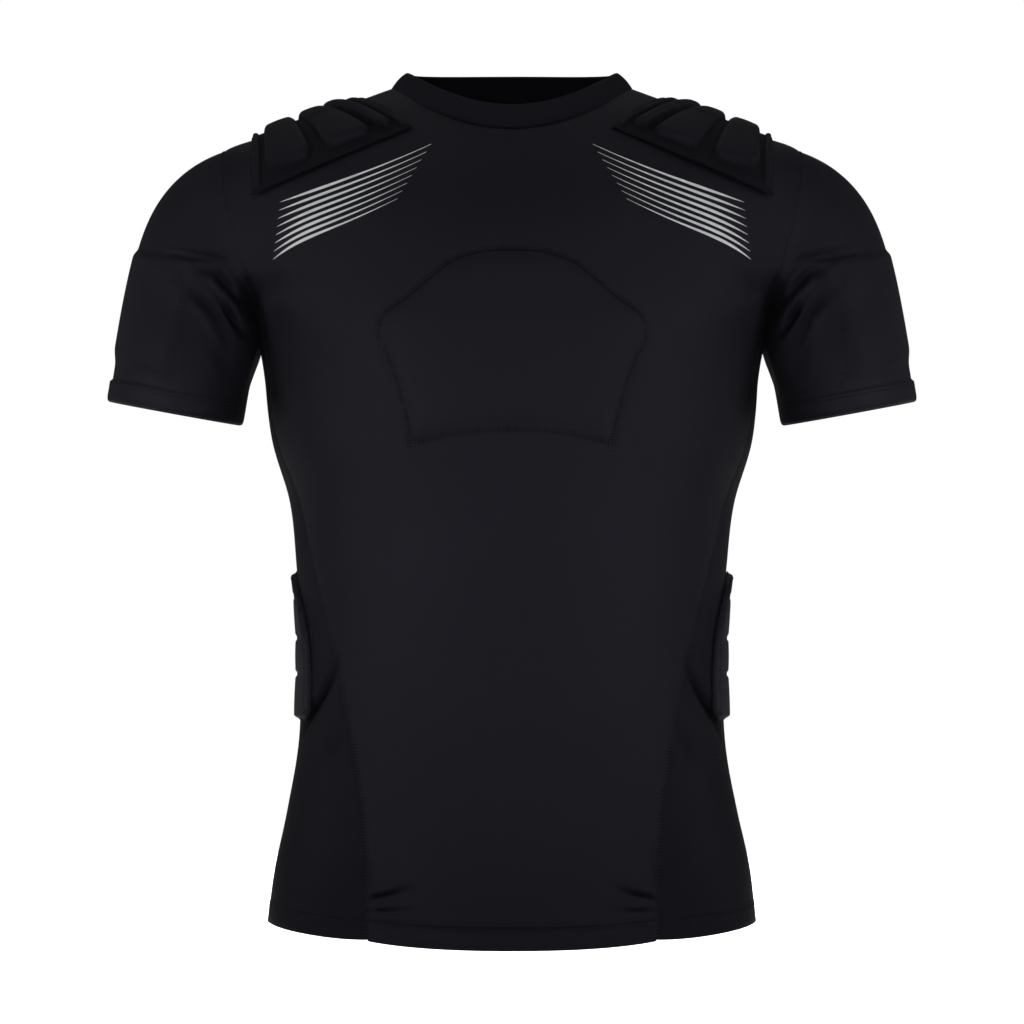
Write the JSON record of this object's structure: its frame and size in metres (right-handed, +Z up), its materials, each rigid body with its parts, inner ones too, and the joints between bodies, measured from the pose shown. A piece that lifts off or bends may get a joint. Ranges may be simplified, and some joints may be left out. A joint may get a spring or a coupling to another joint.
{
  "type": "padded rugby vest",
  "caption": "Close-fitting short-sleeved rugby vest in worn, hollow form, with block foam pads over the shoulders and ribs, pads behind the chest and in the sleeves, and mesh side panels.",
  "frame": {"origin": "midway between the shoulders, at the height of the high point of the shoulder seams, where the vest rests on its wearer", "axes": "+Z up, -Y towards the front, +X towards the wearer's left"},
  "size_m": [0.658, 0.2488, 0.7056],
  "materials": {
    "black_jersey": "smooth stretch knit with a slight sheen",
    "black_mesh": "fine knitted mesh",
    "black_rib": "doubled knit band",
    "black_pad_cover": "knit moulded over foam blocks",
    "dark_foam": "cloth-faced foam"
  },
  "bodies": {
    "root": {"front": "black_jersey", "back": "black_jersey", "side_left": "black_mesh", "side_right": "black_mesh", "sleeve_left": "black_jersey", "sleeve_right": "black_jersey", "neckband": "black_rib", "shoulder_pad_left": "black_pad_cover", "shoulder_pad_right": "black_pad_cover", "rib_pad_left": "black_pad_cover", "rib_pad_right": "black_pad_cover", "chest_pad": "dark_foam", "sleeve_pad_left": "dark_foam", "sleeve_pad_right": "dark_foam"}
  },
  "joints": []
}
